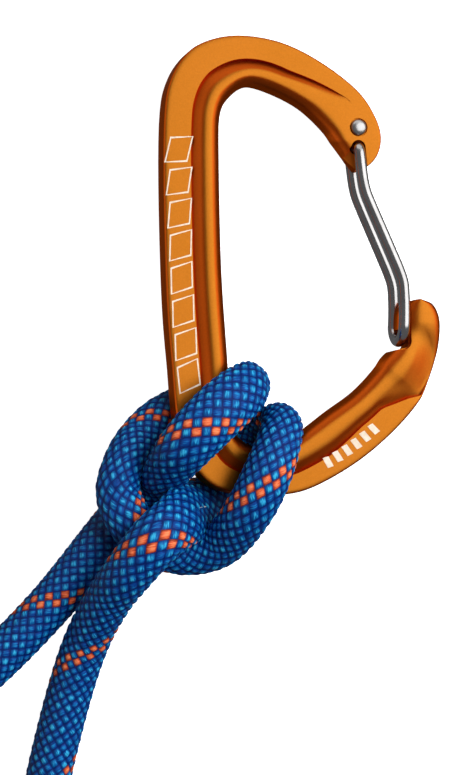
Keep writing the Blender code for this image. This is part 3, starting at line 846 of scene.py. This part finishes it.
# The near leg's centreline from inside the lower hole to the nose, measured off the photo, the far leg's end in
# the upper hole, and the round end's place and radius.
NEAR_LEG = [
    (28.0, 53.2, -1.7), (28.0, 53.2, 1.6), (28.0, 52.9, 2.9), (28.1, 51.8, 3.35),
    (28.4, 49.2, 3.37), (28.9, 45.6, 3.4), (29.5, 43.2, 3.42), (30.4, 41.0, 3.44),
    (32.7, 35.9, 3.5), (35.1, 30.6, 3.54), (37.0, 26.3, 3.58), (37.9, 23.6, 3.6),
    (38.15, 20.5, 3.63), (38.2, 17.5, 3.65), (38.15, 14.6, 3.7),
]
FAR_END = [(28.0, 56.0, -3.35), (28.0, 57.3, -3.1), (28.0, 57.65, -2.15)]
U_END = (38.1, 14.6, 3.7)


def wire_line():
    """The gate wire's centreline: up the near leg, round its end and back up the far leg."""
    near = spline(NEAR_LEG, 10)
    x, y, r = U_END
    bend = [(x, y - r * math.sin(a), r * math.cos(a)) for a in np.linspace(0, math.pi, 41)[1:-1]]
    far = [(px, py, -pz) for px, py, pz in spline(NEAR_LEG[3:], 10)[::-1]]
    return np.vstack([near, bend, far[:-1], spline([far[-1]] + FAR_END, 10)])


def gate():
    """The bent wire, rounded off at its two ends."""
    line = place(wire_line())
    ends = np.minimum(along(line), along(line[::-1])[::-1])
    radii = WIRE_R * np.sqrt(1 - np.clip(1 - ends / 0.5, 0, 0.85) ** 2)
    wire = tube("gate_wire_drawn", line, radii, 32, steel("stainless_wire"))
    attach(wire, "gate")
    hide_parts("gate_wire")
    return wire


def turned(name, profile, origin, axis, sides, material):
    """A profile of radius and height, top first, turned round an axis through the origin."""
    u, v = frames(np.array([origin, origin + axis]))
    a = 2 * math.pi * np.arange(sides) / sides
    ring = np.outer(np.cos(a), u[0]) + np.outer(np.sin(a), v[0])
    rings = [origin + h * axis + r * ring for r, h in profile]
    return outward(mesh_piece(name, *skin(rings), material, 40))


def peened_end():
    """The domed head, a little flattened by the tool, over a shank that fills the upper hole."""
    head = [(0.25, 3.9), (0.7, 3.87), (1.1, 3.78), (1.4, 3.64), (1.62, 3.44), (1.75, 3.2), (1.79, 3.0),
            (1.77, 2.86), (1.65, 2.8), (1.3, 2.78), (WIRE_R, 2.7), (WIRE_R, -1.7), (1.1, -1.8)]
    origin = place([*UPPER_HOLE, 0])[0]
    axis = place([*UPPER_HOLE, 1])[0] - origin
    pin = turned("peened_head", head, origin, axis, 64, steel("peened_steel", 0.3))
    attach(pin, "carabiner")
    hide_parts("gate_wire_peened_end")
    return pin


# ---------------------------------------------------------------- rope ends

SLEEVE_LENGTH, SLEEVE_R, SLEEVE_BORE = 28.0, 5.8, 5.3
SLEEVE_SIDES = 48

# How far the sleeve's edges roll in and over what length, and its ridges' half depth and spacing.
ROLL, ROLL_LENGTH = 0.35, 0.5
RIDGE, RIDGE_SPACING = 0.04, 3.5

# Radius and height of the fused blob that closes the rope, from its middle out.
SEAL = [(0.3, 2.7), (1.2, 2.66), (2.2, 2.55), (3.0, 2.4), (3.7, 2.15), (4.25, 1.85), (4.6, 1.5),
        (4.8, 1.15), (4.88, 0.7), (4.85, 0.3)]


def sleeve_tube(name, run, material):
    """A shrunk tube round the start of a run of rope: out over its ridges and rolled edges, back along its
    bore."""
    s = along(run)
    t = np.linspace(0, 1, 57)
    edge = np.minimum(t, 1 - t) * SLEEVE_LENGTH
    ridges = RIDGE * (1 + np.cos(2 * math.pi * edge / RIDGE_SPACING))
    outer = SLEEVE_R - ROLL * np.exp(-edge / ROLL_LENGTH) - ridges
    path = np.array([[np.interp(c * SLEEVE_LENGTH, s, run[:, k]) for k in range(3)] for c in t])
    rings = ringed(path, outer, SLEEVE_SIDES) + ringed(path, SLEEVE_BORE, SLEEVE_SIDES)[::-4]
    n, count = SLEEVE_SIDES, len(rings)
    faces = [(r * n + i, r * n + (i + 1) % n, (r + 1) % count * n + (i + 1) % n, (r + 1) % count * n + i)
             for r in range(count) for i in range(n)]
    return outward(mesh_piece(name, np.vstack(rings), faces, material, 40))


def rope_ends():
    """A sleeve and a seal at each end of the rope."""
    sleeve_material = melted_plastic("sleeve_black", (0.02, 0.02, 0.024))
    seal_material = melted_plastic("melted_end", (0.02, 0.035, 0.08))
    line, _, _ = rope_line(400)
    pieces = []
    for number, run in ((1, line), (2, line[::-1])):
        sleeve = sleeve_tube(f"shrunk_sleeve_{number}", run, sleeve_material)
        axis = (run[0] - run[1]) / np.linalg.norm(run[0] - run[1])
        seal = turned(f"melted_seal_{number}", SEAL, run[0], axis, 48, seal_material)
        for piece, node, slot in ((sleeve, f"rope_end_sleeve_{number}", "rope_sleeve"),
                                  (seal, f"rope_end_seal_{number}", "rope_seal")):
            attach(piece, "carabiner")
            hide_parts(node)
            pieces.append(piece)
    return pieces


def core():
    """The core strands are the CAD's own, given a material."""
    material = core_fibre()
    for k in range(7):
        node = bpy.data.objects[f"rope_core_strand_{k + 1}"]
        node.data.materials.clear()
        node.data.materials.append(material)


camera()
rope()
core()
body()
marks()
steel_pieces = [gate(), peened_end()]
keep_off(floor_and_lights(), steel_pieces)
